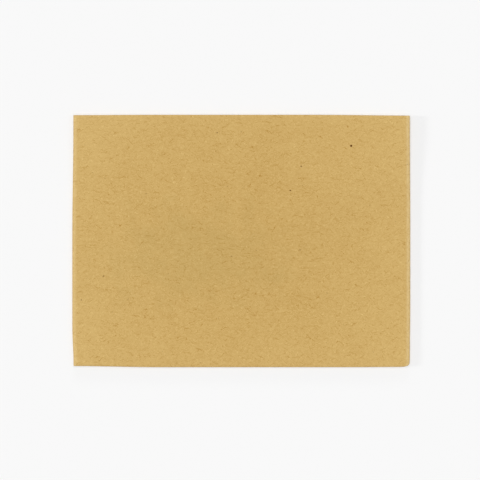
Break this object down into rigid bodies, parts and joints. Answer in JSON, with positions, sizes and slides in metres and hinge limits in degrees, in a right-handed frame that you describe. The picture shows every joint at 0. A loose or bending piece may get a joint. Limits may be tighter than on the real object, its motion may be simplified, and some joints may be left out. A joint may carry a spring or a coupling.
{
  "type": "kraft envelope",
  "caption": "Flat brown kraft paper envelope, folded and glued from one sheet, lying closed with its address side up.",
  "frame": {"origin": "on the surface that the envelope lies on, under the middle of its outline", "axes": "+X along the width, +Y towards the top fold that the closure flap hangs from, +Z out of the address side"},
  "size_m": [0.16, 0.1194, 0.0022],
  "materials": {
    "kraft_paper": "matte"
  },
  "bodies": {
    "root": {"envelope": "kraft_paper"}
  },
  "joints": []
}
